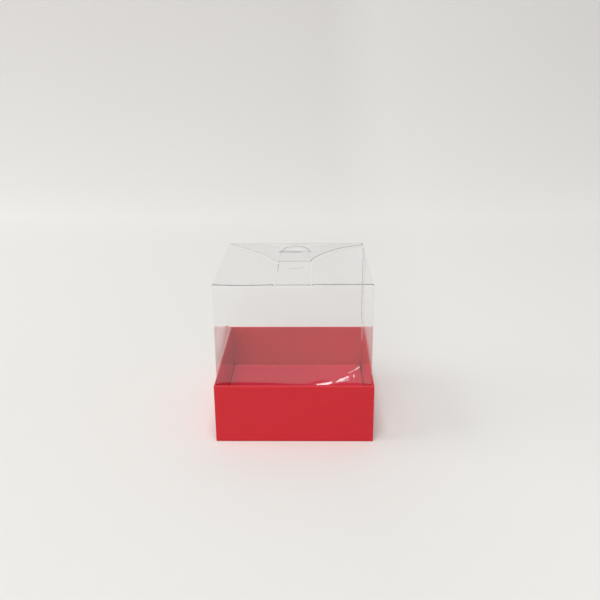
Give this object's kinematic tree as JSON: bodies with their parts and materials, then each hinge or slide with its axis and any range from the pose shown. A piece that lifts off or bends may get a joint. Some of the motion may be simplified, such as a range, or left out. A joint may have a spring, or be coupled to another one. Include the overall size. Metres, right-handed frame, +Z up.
{
  "type": "clear gift box",
  "caption": "Square gift box: a clear film cover with a tongue-and-slit top stands in a folded card tray round a raised card platform.",
  "frame": {"origin": "middle of the tray's underside, on the surface that the box stands on", "axes": "+Z up, -Y towards the front, where the tongue of the top is creased, +X to the right"},
  "size_m": [0.08, 0.08, 0.0842],
  "materials": {
    "tray_card": "smooth red card, satin",
    "platform_card": "smooth red card, satin",
    "cover_film": "clear glossy film"
  },
  "bodies": {
    "tray": {"tray_floor": "tray_card", "tray_wall_front": "tray_card", "tray_wall_right": "tray_card", "tray_wall_back": "tray_card", "tray_wall_left": "tray_card", "tray_foot_front": "tray_card", "tray_foot_right": "tray_card", "tray_foot_back": "tray_card", "tray_foot_left": "tray_card", "tray_corner_tab_front_left": "tray_card", "tray_corner_tab_front_right": "tray_card", "tray_corner_tab_back_right": "tray_card", "tray_corner_tab_back_left": "tray_card"},
    "platform": {"platform_deck": "platform_card", "platform_leg_front": "platform_card", "platform_leg_right": "platform_card", "platform_leg_back": "platform_card", "platform_leg_left": "platform_card"},
    "cover": {"cover_panel_front": "cover_film", "cover_panel_right": "cover_film", "cover_panel_back": "cover_film", "cover_panel_left": "cover_film", "cover_glue_tab": "cover_film"},
    "tongue": {"cover_tongue": "cover_film", "cover_tongue_tip": "cover_film"},
    "back_flap": {"cover_back_flap": "cover_film"},
    "dust_flap_left": {"cover_dust_flap_left": "cover_film"},
    "dust_flap_right": {"cover_dust_flap_right": "cover_film"}
  },
  "joints": [
    {"name": "cover_lift", "type": "slide", "parent": "tray", "child": "cover", "axis": [0, 0, 1], "range_m": [0, 0.045]},
    {"name": "platform_lift", "type": "slide", "parent": "tray", "child": "platform", "axis": [0, 0, 1], "range_m": [0, 0.03]},
    {"name": "tongue_hinge", "type": "hinge", "parent": "cover", "child": "tongue", "pos_m": [0, -0.03852, 0.08407], "axis": [1, 0, 0], "range_deg": [0, 165], "deforming": ["cover_tongue_tip"]},
    {"name": "back_flap_hinge", "type": "hinge", "parent": "cover", "child": "back_flap", "pos_m": [0, 0.03852, 0.08374], "axis": [-1, 0, 0], "range_deg": [0, 110]},
    {"name": "dust_flap_left_hinge", "type": "hinge", "parent": "cover", "child": "dust_flap_left", "pos_m": [-0.0384, 0, 0.08319], "axis": [0, 1, 0], "range_deg": [0, 78], "stiffness_Nm_per_rad": 0.0006, "springref_deg": -28.65},
    {"name": "dust_flap_right_hinge", "type": "hinge", "parent": "cover", "child": "dust_flap_right", "pos_m": [0.0384, 0, 0.08319], "axis": [0, -1, 0], "range_deg": [0, 78], "stiffness_Nm_per_rad": 0.0006, "springref_deg": -28.65}
  ],
  "couplings": [
    {"joint": "back_flap_hinge", "follows": "tongue_hinge", "ratio": 0.66}
  ]
}
